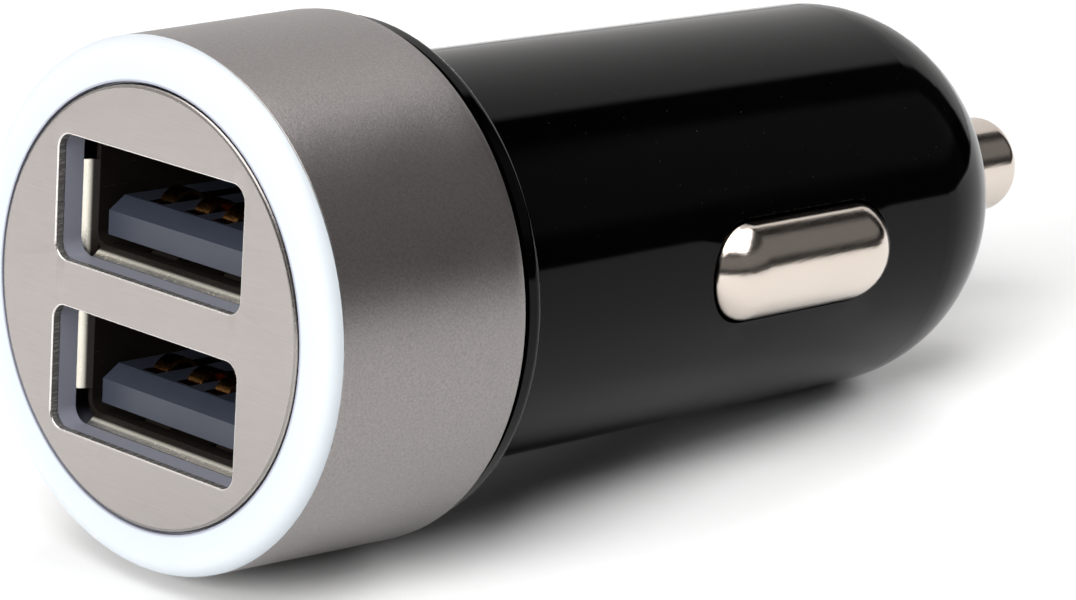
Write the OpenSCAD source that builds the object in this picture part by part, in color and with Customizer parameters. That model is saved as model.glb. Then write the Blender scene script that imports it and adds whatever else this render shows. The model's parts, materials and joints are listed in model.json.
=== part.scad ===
// Car USB charger plug, lying on its side as it comes to rest.
//
// The plug axis runs from the face with its two receptacles (low X) to the
// sprung tip contact (high X). It slopes down a little toward the tip, because
// the plug lies on the rear edge of its metal sleeve and on its rounded nose.
// Z is up, and the two side contacts look toward -Y and +Y.
// All sizes are in millimetres. Each piece is a solid of its own, in one frame.

/* [Face] */

// Diameter of the metal face plate
face_d = 21.2; // [19:0.1:23]
// Thickness of the face plate
face_t = 0.5; // [0.3:0.1:1]
// Clearance between the sides of a window and its receptacle
window_side = 0.08; // [0.04:0.02:0.4]
// Clearance above and below a receptacle in its window
window_rise = 0.19; // [0.04:0.01:0.5]
// Corner radius of a window
window_round = 0.8; // [0.3:0.1:1.5]
// Distance between the middles of the two windows
window_pitch = 8.36; // [8.1:0.02:9]

/* [Light ring] */

// How far the metal sleeve starts behind the face
ring_step = 0.85; // [0.6:0.05:1.5]
// How far the front of the ring lies behind the face
ring_lead = 0.08; // [0.02:0.02:0.3]
// Width of the ring around the face plate
ring_w = 2.23; // [1.8:0.01:3]
// Thickness of the light guide behind the face plate
guide_t = 1.1; // [0.7:0.05:1.5]
// Wall of the skirt inside the sleeve
skirt_t = 1.15; // [0.8:0.05:1.6]
// How far behind the face the skirt ends
skirt_end = 5.7; // [4:0.1:8]

/* [Sleeve] */

// How much the radius grows from the front edge to the rear edge
sleeve_flare = 0.26; // [0:0.02:0.6]
// How far behind the face the sleeve ends
sleeve_end = 12.27; // [10:0.1:16]
// Wall thickness at the front edge
sleeve_wall = 0.78; // [0.5:0.02:1.2]
// Width of the narrow land at the rear edge, on which the plug lies
sleeve_land = 0.5; // [0.2:0.05:1]

/* [Housing] */

// How far the stop flange stays inside the rear edge of the sleeve
flange_inset = 0.34; // [0:0.02:0.8]
// How far behind the face the flange ends
flange_end = 13.84; // [12:0.1:18]
// Groove between the sleeve and the flange
joint_gap = 0.18; // [0.1:0.02:0.5]
// Radius in the corner between the flange and the barrel
root_round = 0.3; // [0.2:0.05:0.6]
// Diameter of the barrel that enters the socket
barrel_d = 20.8; // [20.4:0.1:21]
// Wall thickness of the barrel
barrel_wall = 1.2; // [1:0.1:2]
// How much smaller the radius of the barrel is at the nose
barrel_draft = 0.04; // [0.01:0.01:0.2]
// How far behind the face the nose ends
nose_end = 55.22; // [48:0.1:62]
// Radius of the round from the barrel into the nose
nose_round = 8.58; // [6:0.1:10]

/* [Tip contact] */

// Diameter of the sprung centre contact
tip_d = 5.34; // [4:0.1:7]
// How far the contact stands out of the nose
tip_out = 7.84; // [5:0.02:12]
// Travel of the contact into the nose
tip_travel = 2.5; // [1.5:0.1:3.5]
// Radius of the round at the edge of its end
tip_round = 1.1; // [0.5:0.1:2]

/* [Side contacts] */

// Length of a contact pad along the plug
pad_len = 13.1; // [10:0.1:16]
// Width of a contact pad
pad_w = 5; // [4:0.1:6]
// Radius of its back across the plug
pad_back_r = 2.8; // [2.6:0.1:4]
// How far the back of a pad stands out of the barrel
pad_proud = 1.5; // [0.8:0.1:1.8]
// How far behind the face the middle of a pad lies
pad_mid = 34.9; // [30:0.1:40]
// Travel of a pad into the barrel
pad_travel = 1.5; // [0.6:0.1:1.6]
// Sheet thickness of a pad
pad_t = 0.7; // [0.4:0.1:1]

/* [Receptacles] */

// Clear width of a receptacle
port_w = 12.5; // [12.3:0.05:12.7]
// Clear height of a receptacle
port_h = 5.12; // [5:0.02:5.3]
// Length of the flared lips at the front of a receptacle shell
lip_len = 0.65; // [0.3:0.05:1]
// How far the lips flare outward
lip_rise = 0.5; // [0.1:0.05:0.5]
// Sheet thickness of a receptacle shell
shell_t = 0.3; // [0.2:0.05:0.4]
// Width of the contact tongue
tongue_w = 11.1; // [10.8:0.1:11.3]
// Thickness of the contact tongue
tongue_t = 1.84; // [1.6:0.02:2]
// How far the tongue lies below the middle of its receptacle
tongue_drop = 1.1; // [0.8:0.05:1.3]
// How far behind the face the tongue starts
tongue_front = 2.35; // [1.8:0.05:4]

/* [Circuit board] */

// Thickness of the board
board_t = 1.6; // [1:0.1:1.8]
// How far behind the face the board ends
board_end = 44; // [42:0.1:46]

/* [Electronics] */

// Width of the inductor
coil_w = 8.2; // [6:0.1:9]
// Height of the inductor
coil_h = 5.2; // [3:0.1:5.6]
// Diameter of each capacitor can
can_d = 6.3; // [4:0.1:6.3]
// Height of each can
can_h = 6.4; // [5:0.1:6.6]
// Height of the fuse
fuse_h = 2.4; // [1.5:0.1:3]

/* [Hidden] */

// Faces of a full circle, and of a small one
big_fn = 96;
small_fn = 32;

// Radii
face_r = face_d / 2;
ring_r = face_r + ring_w;
sleeve_rear_r = ring_r + sleeve_flare;
seat_r = ring_r - sleeve_wall;
plug_in_r = seat_r - 0.02;
flange_r = sleeve_rear_r - flange_inset;
barrel_r = barrel_d / 2;
tip_r = tip_d / 2;
ring_recess_r = face_r + 0.1;
ring_edge_round = ring_step - ring_lead;
guide_back = face_t + guide_t;
skirt_r = plug_in_r - skirt_t;

// Hollow of the housing
cup_r = skirt_r;
ledge_x = flange_end - 0.94;
bore_r = barrel_r - barrel_wall;
flange_round = 0.6;
nose_x = nose_end - nose_round;
nose_r = barrel_r - barrel_draft;
nose_c = nose_r - nose_round;

// Guide for the tip contact inside the nose
slide_gap = 0.05;
head_r = tip_r + 0.9;
head_t = 1.2;
head_stop = nose_end - 4.6;
guide_bore_r = head_r + 0.1;
guide_r = guide_bore_r + 1.2;
guide_x = head_stop - head_t - tip_travel - 0.6;

// Shape of the end of the tip contact
tip_end = nose_end + tip_out;
tip_flat_x = tip_end - tip_round - 0.5;
tip_in = tip_r - tip_round;
tip_deep = tip_end - tip_flat_x;
tip_dome = (tip_deep * tip_deep + tip_in * tip_in - tip_round * tip_round) / (2 * (tip_deep - tip_round));

// Tip spring and its terminal
wire_d = 0.4;
coil_r = 1.75;
coil_turns = 9;
tip_hole_r = coil_r + wire_d / 2 + 0.12;
tip_hole = 3;
terminal_t = 0.5;
spring_from = board_end + terminal_t;
spring_to = head_stop - head_t + tip_hole;

// Side contacts
slot_gap = 0.2;
pad_lip = 0.7;
pad_lip_t = 0.5;
pad_lip_y = sqrt(bore_r * bore_r - pow(pad_w / 2 + pad_lip, 2)) - 0.03;
pad_top = barrel_r + pad_proud;
pad_back_y = pad_top - pad_back_r;
bow_t = 0.25;
board_waist = 6.15;
bow_r = 5.4;
bow_w = 2;
bow_top = pad_back_y + sqrt(pow(pad_back_r - pad_t, 2) - bow_w * bow_w / 4) - 0.01;

// Receptacles
port_z = window_pitch / 2;
shell_front = guide_back + 0.05;
lip_x = shell_front + lip_len;
shell_back = 12.4;
shell_h = port_h + 2 * shell_t;
shell_w = port_w + 2 * shell_t;
window_w = shell_w + 2 * window_side;
window_h = shell_h + 2 * window_rise;
finger_y = [-2.6, 2.6];
base_front = 11.9;
base_back = 14.2;
tongue_tip = 1.2;

// Board
board_front = guide_back + 0.3;
board_cup_half = cup_r - 0.45;
board_half = bore_r - 0.5;
board_step = flange_end - 1.24;
waist_from = pad_mid - pad_len / 2 - 1.05;
waist_to = pad_mid + pad_len / 2 + 0.95;
board_top = board_t / 2;

// Places of the larger parts along the board
coil_x = board_step + 8.8;
out_can_x = coil_x + coil_w / 2 + can_d / 2 + 0.95;
in_can_x = out_can_x + can_d + 0.7;
chip_x = coil_x + 3.8;
diode_x = chip_x + 7;
fuse_x = diode_x + 6.4;

// How the plug lies: it touches the floor with the land at the rear of the sleeve
// and with the round of the nose, so its axis slopes by the angle of that line.
touch_x = sleeve_end - 0.1 - sleeve_land;
touch_r = sleeve_rear_r;
far = norm([nose_x - touch_x, touch_r - nose_c]);
lie_tilt = atan2(touch_r - nose_c, nose_x - touch_x) - asin(nose_round / far);
lift = touch_x * sin(lie_tilt) + touch_r * cos(lie_tilt);
land_r = touch_r - sleeve_land * tan(lie_tilt);
low_x = -face_r * sin(lie_tilt);
high_x = (tip_end - tip_dome) * cos(lie_tilt) + tip_dome;
shift = -(low_x + high_x) / 2;

module lying() {
    translate([shift, 0, lift]) rotate([0, lie_tilt, 0]) children();
}

// Turns a half section, drawn as radius and distance behind the face, about the axis
module spin() {
    rotate([0, 90, 0]) rotate_extrude($fn = big_fn, convexity = 6) children();
}

// Lays a flat figure drawn in Y and Z across the axis and makes it thick along X
module across(x, long) {
    translate([x, 0, 0]) rotate([90, 0, 90]) linear_extrude(height = long, convexity = 4) children();
}

// A box between two corners
module block(low, high) {
    translate(low) cube([high[0] - low[0], high[1] - low[1], high[2] - low[2]]);
}

// A rectangle with round corners, about its middle
module rounded(w, h, r) {
    union() {
        square([w - 2 * r, h], center = true);
        square([w, h - 2 * r], center = true);
        for (a = [-1, 1], b = [-1, 1]) {
            translate([a * (w / 2 - r), b * (h / 2 - r)]) circle(r = r, $fn = small_fn);
        }
    }
}

// A strip with half-round ends, about its middle
module stadium(long, wide) {
    union() {
        square([long - wide, wide], center = true);
        for (s = [-1, 1]) {
            translate([s * (long - wide) / 2, 0]) circle(d = wide, $fn = 64);
        }
    }
}

module windows(x, long, grow) {
    for (s = [-1, 1]) {
        across(x, long) {
            translate([0, s * port_z]) rounded(window_w + grow, window_h + grow, window_round + grow / 2);
        }
    }
}

// Thin metal disc with the two windows
module face_plate() {
    color([0.74, 0.71, 0.68]) lying() {
        difference() {
            spin() polygon([[0, 0], [face_r - 0.12, 0], [face_r, 0.12], [face_r, face_t], [0, face_t]]);
            windows(-1, face_t + 2, 0);
        }
    }
}

// Clear white cap that carries the face plate and glows around it
module light_ring() {
    color([0.92, 0.95, 1]) lying() {
        difference() {
            spin() {
                union() {
                    polygon([[0, face_t], [ring_recess_r, face_t], [ring_recess_r, ring_lead],
                        [ring_r - ring_edge_round, ring_lead], [ring_r - ring_edge_round, ring_step],
                        [plug_in_r, ring_step], [plug_in_r, skirt_end], [skirt_r, skirt_end],
                        [skirt_r, guide_back], [0, guide_back]]);
                    intersection() {
                        translate([ring_r - ring_edge_round, ring_step]) circle(r = ring_edge_round, $fn = small_fn);
                        translate([ring_recess_r, ring_lead - 1]) square([5, 1 + ring_step - ring_lead]);
                    }
                }
            }
            windows(-1, guide_back + 2, 0.04);
            ring_notches();
        }
    }
}

// Notches in the rear edge of the skirt, over the ends of the board
module ring_notches() {
    for (s = [-1, 1]) {
        block([skirt_end - 1.6, min(s * (skirt_r - 0.6), s * (seat_r + 1)), -1.6],
            [skirt_end + 1, max(s * (skirt_r - 0.6), s * (seat_r + 1)), 1.6]);
    }
}

// Metal tube, a little wider at the rear, where a narrow land lies flat on the floor
module sleeve() {
    color([0.5, 0.48, 0.46]) lying() {
        spin() polygon([[seat_r, ring_step], [ring_r - 0.06, ring_step], [ring_r, ring_step + 0.06],
            [touch_r, touch_x], [land_r, sleeve_end - 0.1], [land_r - 0.1, sleeve_end], [seat_r, sleeve_end]]);
    }
}

// Half section of the outside of the housing
module housing_outside() {
    union() {
        translate([0, skirt_end]) square([plug_in_r, flange_end - skirt_end - flange_round]);
        translate([0, sleeve_end + joint_gap]) {
            square([flange_r, flange_end - flange_round - sleeve_end - joint_gap]);
        }
        translate([0, flange_end - flange_round - 0.01]) square([flange_r - flange_round, flange_round + 0.01]);
        translate([flange_r - flange_round, flange_end - flange_round]) circle(r = flange_round, $fn = small_fn);
        polygon([[0, flange_end - 0.01], [barrel_r, flange_end - 0.01], [barrel_r, waist_from - 0.6],
            [nose_r, nose_x], [0, nose_x]]);
        difference() {
            translate([barrel_r - 0.01, flange_end - 0.01]) square([root_round, root_round]);
            translate([barrel_r + root_round, flange_end + root_round]) circle(r = root_round, $fn = small_fn);
        }
        intersection() {
            union() {
                translate([nose_c, nose_x]) circle(r = nose_round, $fn = big_fn);
                translate([0, nose_x - 1]) square([nose_c, nose_round + 1]);
            }
            translate([0, nose_x - 0.01]) square([barrel_r + 1, nose_round + 2]);
        }
    }
}

// Half section of the hollow of the housing
module housing_hollow() {
    union() {
        translate([0, skirt_end - 1]) square([cup_r, ledge_x - skirt_end + 1]);
        difference() {
            union() {
                translate([0, ledge_x - 0.01]) square([bore_r, nose_x - ledge_x + 0.02]);
                intersection() {
                    union() {
                        translate([nose_c, nose_x]) circle(r = nose_round - barrel_wall, $fn = big_fn);
                        translate([0, nose_x - 1]) square([nose_c, nose_round - barrel_wall + 1]);
                    }
                    translate([0, nose_x]) square([barrel_r, nose_round + 2]);
                }
            }
            translate([-1, guide_x]) square([guide_r + 1, nose_end]);
        }
        translate([0, guide_x - 1]) square([guide_bore_r, head_stop - guide_x + 1]);
        translate([0, head_stop - 1]) square([tip_r + slide_gap, nose_end]);
    }
}

// Pairs of ribs that hold the edges of the board
module board_rails() {
    for (s = [-1, 1], t = [-1, 1]) {
        intersection() {
            translate([0, s * 10, t * (board_top + 0.55)]) {
                translate([skirt_end + 0.4, -1.45, -0.5]) cube([ledge_x - skirt_end - 0.4, 3, 1]);
            }
            translate([skirt_end, 0, 0]) rotate([0, 90, 0]) cylinder(r = cup_r + 0.4, h = 12, $fn = big_fn);
        }
        intersection() {
            translate([ledge_x - 0.1, s * 8.6 - 1, t * (board_top + 0.55) - 0.5]) {
                cube([waist_from - ledge_x - 0.5, 2, 1]);
            }
            translate([ledge_x - 1, 0, 0]) rotate([0, 90, 0]) cylinder(r = bore_r + 0.4, h = 20, $fn = big_fn);
        }
    }
}

// Openings in the barrel for the two side contacts
module side_slots() {
    for (s = [-1, 1]) {
        translate([pad_mid, s * (bore_r + barrel_wall / 2), 0]) rotate([90, 0, 0]) {
            linear_extrude(height = 6, center = true) {
                stadium(pad_len + 2 * slot_gap, pad_w + 2 * slot_gap);
            }
        }
    }
}

// One-piece moulded shell: cup for the electronics, stop flange, barrel and nose
module housing() {
    color([0.05, 0.05, 0.055]) lying() {
        difference() {
            union() {
                difference() {
                    spin() housing_outside();
                    spin() housing_hollow();
                }
                board_rails();
            }
            side_slots();
        }
    }
}

// Half section of the tip contact
module tip_section() {
    difference() {
        union() {
            translate([0, head_stop - head_t]) square([head_r, head_t]);
            translate([0, head_stop - 0.01]) square([tip_r, tip_flat_x - head_stop + 0.01]);
            tip_dome_section();
        }
        translate([-1, head_stop - head_t - 1]) square([tip_hole_r + 1, tip_hole + 1]);
    }
}

// Domed end of the tip contact, made of two arcs that run into each other
module tip_dome_section() {
    union() {
        translate([0, tip_flat_x - 1]) square([tip_in, 1 + tip_round * 0.6]);
        intersection() {
            translate([tip_in, tip_flat_x]) circle(r = tip_round, $fn = small_fn);
            translate([0, tip_flat_x - 0.01]) square([tip_r + 1, tip_round + 1]);
        }
        intersection() {
            translate([0, tip_end - tip_dome]) circle(r = tip_dome, $fn = big_fn);
            polygon([[0, tip_end - tip_dome], [tip_in * 3, tip_end - tip_dome + (tip_flat_x - tip_end + tip_dome) * 3],
                [0, tip_end + 2]]);
        }
    }
}

// Plated pin with a head that stops inside the nose
module tip_contact() {
    color([0.8, 0.76, 0.7]) lying() spin() tip_section();
}

// Place of the wire's middle after so many turns: closed coils at both ends, open ones between
function coil_x(turn) =
    let (closed = wire_d * 1.06, open = (spring_to - spring_from - wire_d - 2 * closed) / (coil_turns - 2))
    spring_from + wire_d / 2 + closed * min(turn, 1) + open * max(0, min(turn - 1, coil_turns - 2))
    + closed * max(0, turn - coil_turns + 1);

// Coil spring between the terminal and the hollow of the tip contact
module tip_spring() {
    steps = 18 * coil_turns;
    sides = 8;
    points = [
        for (k = [0 : steps], j = [0 : sides - 1])
            let (a = 360 * k * coil_turns / steps, b = 360 * j / sides, r = coil_r + wire_d / 2 * cos(b))
            [coil_x(k * coil_turns / steps) + wire_d / 2 * sin(b), r * cos(a), r * sin(a)]
    ];
    walls = [
        for (k = [0 : steps - 1], j = [0 : sides - 1])
            let (n = (j + 1) % sides)
            [k * sides + j, k * sides + n, (k + 1) * sides + n, (k + 1) * sides + j]
    ];
    ends = [[for (j = [0 : sides - 1]) sides - 1 - j], [for (j = [0 : sides - 1]) steps * sides + j]];
    color([0.7, 0.7, 0.68]) lying() polyhedron(points = points, faces = concat(walls, ends), convexity = 10);
}

// Spring seat soldered over the end of the board
module tip_terminal() {
    color([0.8, 0.74, 0.55]) lying() {
        union() {
            translate([board_end, 0, 0]) rotate([0, 90, 0]) cylinder(r = 3.2, h = terminal_t, $fn = 48);
            translate([board_end, 0, 0]) rotate([0, 90, 0]) cylinder(r = 1.3, h = terminal_t + 1, $fn = small_fn);
            for (s = [-1, 1]) {
                block([board_end - 3, -1.4, min(s * board_top, s * (board_top + 0.35))],
                    [board_end + 0.1, 1.4, max(s * board_top, s * (board_top + 0.35))]);
            }
        }
    }
}

// Contact pad on the -Y side of the plug: a pressed cup with a lip inside the wall
module pad_shape() {
    difference() {
        union() {
            pad_body(0, pad_lip_y - pad_lip_t / 2);
            pad_plate(pad_len + 2 * pad_lip, pad_w + 2 * pad_lip, pad_lip_y - pad_lip_t, pad_lip_y);
        }
        pad_body(pad_t, pad_lip_y - 2);
    }
}

// A flat strip with half-round ends between two distances from the axis
module pad_plate(long, wide, from, to) {
    translate([pad_mid, -from, 0]) rotate([90, 0, 0]) linear_extrude(height = to - from) stadium(long, wide);
}

// Cross section of a pad, less a wall: straight flanks below, round back above
module pad_section(wall, from) {
    intersection() {
        translate([wall - pad_w / 2, from]) square([pad_w - 2 * wall, pad_top - from]);
        union() {
            translate([0, pad_back_y]) circle(r = pad_back_r - wall, $fn = 64);
            translate([wall - pad_back_r, from]) square([2 * (pad_back_r - wall), pad_back_y - from]);
        }
    }
}

// Smooth body of a pad, less a wall: a bar with turned ends
module pad_body(wall, from) {
    straight = pad_len - pad_w;
    translate([pad_mid, 0, 0]) {
        union() {
            rotate([180, 90, 0]) linear_extrude(height = straight, center = true) pad_section(wall, from);
            for (s = [-1, 1]) {
                translate([s * straight / 2, 0, 0]) rotate([90, 0, 0]) rotate_extrude($fn = 64) {
                    intersection() {
                        pad_section(wall, from);
                        translate([0, from - 1]) square([pad_w, pad_top - from + 2]);
                    }
                }
            }
        }
    }
}

module side_contact_right() {
    color([0.8, 0.76, 0.7]) lying() pad_shape();
}

module side_contact_left() {
    color([0.8, 0.76, 0.7]) lying() rotate([180, 0, 0]) pad_shape();
}

// Bowed leaf between the edge of the board and the hollow of a pad
module bow_shape() {
    difference() {
        translate([pad_mid, -(bow_top - bow_r), 0]) cylinder(r = bow_r, h = bow_w, center = true, $fn = 64);
        translate([pad_mid, -(bow_top - bow_r), 0]) cylinder(r = bow_r - bow_t, h = 4, center = true, $fn = 64);
        translate([pad_mid - 10, -board_waist, -5]) cube([20, 20, 10]);
    }
}

module side_spring_right() {
    color([0.78, 0.66, 0.42]) lying() bow_shape();
}

module side_spring_left() {
    color([0.78, 0.66, 0.42]) lying() rotate([180, 0, 0]) bow_shape();
}

// Side view of a spring finger that reaches into a receptacle, for a wall at height 0
module finger_line() {
    polygon([[8.6, 0.3], [8.6, 0], [7.4, 0], [4.6, -0.5], [4.3, -0.58], [4.05, -0.56], [3.8, -0.44],
        [3.3, 0.1], [3.46, 0.27], [3.98, -0.22], [4.12, -0.3], [4.3, -0.32], [4.6, -0.24], [7.4, 0.27],
        [7.6, 0.3]]);
}

// Finger of one wall: its width lies across, the wall is at the given height
module finger(width) {
    rotate([90, 0, 0]) linear_extrude(height = width, center = true) finger_line();
}

// Lip of one wall, flared toward +Y, for a wall at Y 0
module lip(wide) {
    linear_extrude(height = wide, center = true) {
        polygon([[lip_x + 0.1, 0], [lip_x + 0.1, shell_t], [lip_x, shell_t], [shell_front, lip_rise + shell_t],
            [shell_front, lip_rise], [lip_x, 0]]);
    }
}

// Folded shell of a receptacle about its middle line, with its spring fingers
module shell_shape(leg) {
    union() {
        difference() {
            across(lip_x, shell_back - lip_x) rounded(shell_w, shell_h, 0.9);
            across(lip_x - 1, shell_back + 2) rounded(port_w, port_h, 0.6);
            for (y = finger_y) {
                block([3.1, y - 1.15, port_h / 2 - 0.1], [8.2, y + 1.15, port_h]);
                block([3.1, y - 1.15, -port_h], [8.2, y + 1.15, -port_h / 2 + 0.1]);
            }
        }
        for (y = finger_y) {
            translate([0, y, port_h / 2]) finger(1.8);
            translate([0, y, -port_h / 2]) mirror([0, 0, 1]) finger(1.8);
        }
        for (s = [-1, 1]) {
            translate([0, s * port_w / 2, leg > 0 ? 0.9 : -0.9]) rotate([s < 0 ? 180 : 0, 0, 0]) lip(4.8);
            translate([0, 0, s * port_h / 2]) rotate([s * 90, 0, 0]) lip(s < 0 ? port_w - 0.9 : port_w - 2);
        }
        for (s = [-1, 1]) {
            block([9.4, min(s * port_w / 2, s * shell_w / 2), min(0, leg)],
                [11, max(s * port_w / 2, s * shell_w / 2), max(0, leg)]);
        }
    }
}

module usb_shell_upper() {
    color([0.78, 0.77, 0.74]) lying() translate([0, 0, port_z]) shell_shape(board_top - port_z);
}

module usb_shell_lower() {
    color([0.78, 0.77, 0.74]) lying() translate([0, 0, -port_z]) shell_shape(port_z - board_top);
}

// Tongue and base of a receptacle, between two heights of its base
module insulator_shape(z, base_low, base_high) {
    low = z - tongue_drop - tongue_t / 2;
    union() {
        rotate([90, 0, 0]) linear_extrude(height = tongue_w, center = true) {
            polygon([[tongue_front, low], [base_front + 1, low], [base_front + 1, low + tongue_t],
                [tongue_front + 0.95, low + tongue_t], [tongue_front, low + tongue_tip]]);
        }
        across(base_front, shell_back + 0.1 - base_front) {
            translate([0, z]) rounded(port_w - 0.02, port_h - 0.02, 0.62);
        }
        block([shell_back + 0.02, -5.9, base_low], [base_back, 5.9, base_high]);
    }
}

module usb_insulator_upper() {
    color([0.12, 0.13, 0.15]) lying() {
        difference() {
            insulator_shape(port_z, board_top, port_z + port_h / 2 - 0.3);
            contact_grooves(port_z);
        }
    }
}

module usb_insulator_lower() {
    color([0.12, 0.13, 0.15]) lying() {
        difference() {
            insulator_shape(-port_z, -port_z - port_h / 2 + 0.3, -board_top);
            contact_grooves(-port_z);
        }
    }
}

// Sideways places of the contacts of a receptacle
contact_y = [-3.5, -1, 1, 3.5];
contact_w = 1;
contact_t = 0.2;

// Bow of a contact above its tongue: height, half length, radius and place of its middle
contact_bow = 0.56;
contact_reach = 0.95;
contact_r = (contact_bow * contact_bow + contact_reach * contact_reach) / (2 * contact_bow);
bow_mid = tongue_front + 2.8;

// Grooves in the top of a tongue and through its base, one for each contact
module contact_grooves(z) {
    top = z - tongue_drop + tongue_t / 2;
    for (y = contact_y) {
        block([tongue_front + 1.15, y - contact_w / 2, top - contact_t], [base_back + 1, y + contact_w / 2, top + 0.02]);
    }
}

// Side view of one contact: a flat strip in its groove with a bow near the front, then a tail
module contact_line(z, down) {
    top = z - tongue_drop + tongue_t / 2;
    union() {
        translate([tongue_front + 1.2, top - contact_t]) {
            square([base_back + 0.5 - tongue_front - 1.2, contact_t]);
        }
        intersection() {
            translate([bow_mid, top + contact_bow - contact_r]) {
                difference() {
                    circle(r = contact_r, $fn = small_fn);
                    circle(r = contact_r - contact_t, $fn = small_fn);
                }
            }
            translate([bow_mid - 2, top - contact_t / 2]) square([4, 2]);
        }
        translate([base_back + 0.25, min(top, down)]) square([0.25, abs(top - down)]);
        translate([base_back + 0.25, down > 0 ? down : down - 0.25]) square([1.4, 0.25]);
    }
}

module contacts_shape(z, down) {
    for (y = contact_y) {
        translate([0, y, 0]) rotate([90, 0, 0]) linear_extrude(height = contact_w, center = true) {
            contact_line(z, down);
        }
    }
}

module usb_contacts_upper() {
    color([0.85, 0.65, 0.35]) lying() contacts_shape(port_z, board_top);
}

module usb_contacts_lower() {
    color([0.85, 0.65, 0.35]) lying() contacts_shape(-port_z, -board_top);
}

// Circuit board: wide in the cup, narrower in the barrel, with a waist for the side springs
module main_board() {
    color([0.08, 0.28, 0.16]) lying() {
        translate([0, 0, -board_t / 2]) linear_extrude(height = board_t) {
            polygon([[board_front, -9.6], [board_front + 0.8, -board_cup_half], [board_step, -board_cup_half],
                [board_step, -board_half], [waist_from, -board_half], [waist_from, -board_waist],
                [waist_to, -board_waist], [waist_to, -3.4], [board_end, -3.4], [board_end, 3.4],
                [waist_to, 3.4], [waist_to, board_waist], [waist_from, board_waist], [waist_from, board_half],
                [board_step, board_half], [board_step, board_cup_half], [board_front + 0.8, board_cup_half],
                [board_front, 9.6]]);
        }
    }
}

// Side-emitting diodes at the front corners of the board, on both faces of it
module ring_leds() {
    color([0.95, 0.93, 0.8]) lying() {
        for (s = [-1, 1], t = [-1, 1]) {
            translate([board_front + 0.1, s * 8.4 - 1, t > 0 ? board_top : -board_top - 0.9]) {
                difference() {
                    cube([1.1, 2, 0.9]);
                    translate([-0.1, 0.3, 0.2]) cube([0.4, 1.4, 0.5]);
                }
            }
        }
    }
}

// Shielded power inductor under the board
module inductor() {
    color([0.22, 0.22, 0.23]) lying() {
        translate([coil_x, 0, -board_top - coil_h]) {
            difference() {
                linear_extrude(height = coil_h) rounded(coil_w, coil_w, 1.2);
                translate([0, 0, -1]) linear_extrude(height = 1.3) {
                    difference() {
                        circle(r = coil_w * 0.43, $fn = small_fn);
                        circle(r = coil_w * 0.34, $fn = small_fn);
                    }
                }
            }
        }
    }
}

// Upright can with a rolled groove and a scored top
module can_shape(r, h) {
    difference() {
        cylinder(r = r, h = h, $fn = 48);
        translate([0, 0, 1.4]) {
            difference() {
                cylinder(r = r + 1, h = 0.4, $fn = 48);
                cylinder(r = r - 0.25, h = 0.4, $fn = 48);
            }
        }
        translate([-r * 0.6, -0.1, h - 0.12]) cube([r * 1.2, 0.2, 1]);
        translate([-0.1, -r * 0.6, h - 0.12]) cube([0.2, r * 1.2, 1]);
    }
}

module input_capacitor() {
    color([0.7, 0.7, 0.72]) lying() translate([in_can_x, 0, -board_top]) mirror([0, 0, 1]) can_shape(can_d / 2, can_h);
}

module output_capacitor() {
    color([0.7, 0.7, 0.72]) lying() translate([out_can_x, 0, -board_top]) mirror([0, 0, 1]) can_shape(can_d / 2, can_h);
}

// Small chip with legs along two sides, standing on a plane
module chip_shape(long, wide, high, legs, step) {
    union() {
        translate([-long / 2, -wide / 2, 0.15]) cube([long, wide, high - 0.15]);
        for (k = [0 : legs - 1], s = [-1, 1]) {
            translate([(k - (legs - 1) / 2) * step - 0.2, s > 0 ? wide / 2 - 0.1 : -wide / 2 - 0.9, 0]) {
                cube([0.4, 1, 0.2]);
            }
        }
    }
}

module converter_chip() {
    color([0.1, 0.1, 0.1]) lying() translate([chip_x, 0, board_top]) chip_shape(4.9, 3.9, 1.5, 4, 1.27);
}

module port_controllers() {
    color([0.1, 0.1, 0.1]) lying() {
        translate([coil_x - 3.2, -5.2, board_top]) chip_shape(2.9, 1.6, 1.1, 3, 0.95);
        translate([coil_x - 3.2, 5.2, board_top]) chip_shape(2.9, 1.6, 1.1, 3, 0.95);
    }
}

module catch_diode() {
    color([0.12, 0.12, 0.12]) lying() translate([diode_x, 0, board_top]) {
        union() {
            translate([-2.15, -1.3, 0.15]) cube([4.3, 2.6, 1.85]);
            for (s = [-1, 1]) {
                translate([s * 2.3 - 0.35, -0.75, 0]) cube([0.7, 1.5, 1]);
            }
        }
    }
}

module input_fuse() {
    color([0.85, 0.85, 0.8]) lying() translate([fuse_x, 0, board_top]) {
        translate([-1.3, -3.05, 0]) cube([2.6, 6.1, fuse_h]);
    }
}

// Ceramic capacitors and resistors on both faces of the board
module board_passives() {
    color([0.6, 0.5, 0.38]) lying() {
        for (p = [[-4, 0], [-2, 0], [0, 6.2], [0, -6.2], [3.2, 6.4], [3.2, -6.4], [0.2, 2.2], [0.2, -2.2]]) {
            translate([coil_x + p[0] - 0.6, p[1] - 1, board_top]) cube([1.25, 2, 0.9]);
        }
        for (p = [[-4.2, 6.3], [-4.2, -6.3], [-4.9, 3], [-4.9, -3], [11.7, 4.6], [11.7, -4.6]]) {
            translate([coil_x + p[0] - 0.6, p[1] - 1, -board_top - 0.7]) cube([1.25, 2, 0.7]);
        }
    }
}

face_plate();
light_ring();
sleeve();
housing();
tip_contact();
tip_spring();
tip_terminal();
side_contact_left();
side_contact_right();
side_spring_left();
side_spring_right();
usb_shell_upper();
usb_shell_lower();
usb_insulator_upper();
usb_insulator_lower();
usb_contacts_upper();
usb_contacts_lower();
main_board();
ring_leds();
inductor();
input_capacitor();
output_capacitor();
converter_chip();
port_controllers();
catch_diode();
input_fuse();
board_passives();
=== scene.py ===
"""Looks of a car USB charger plug, as a Blender add-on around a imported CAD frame.

Each operator dresses one piece, or one group of like pieces. The panel in the sidebar lists them.
"""

import json
import math

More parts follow.
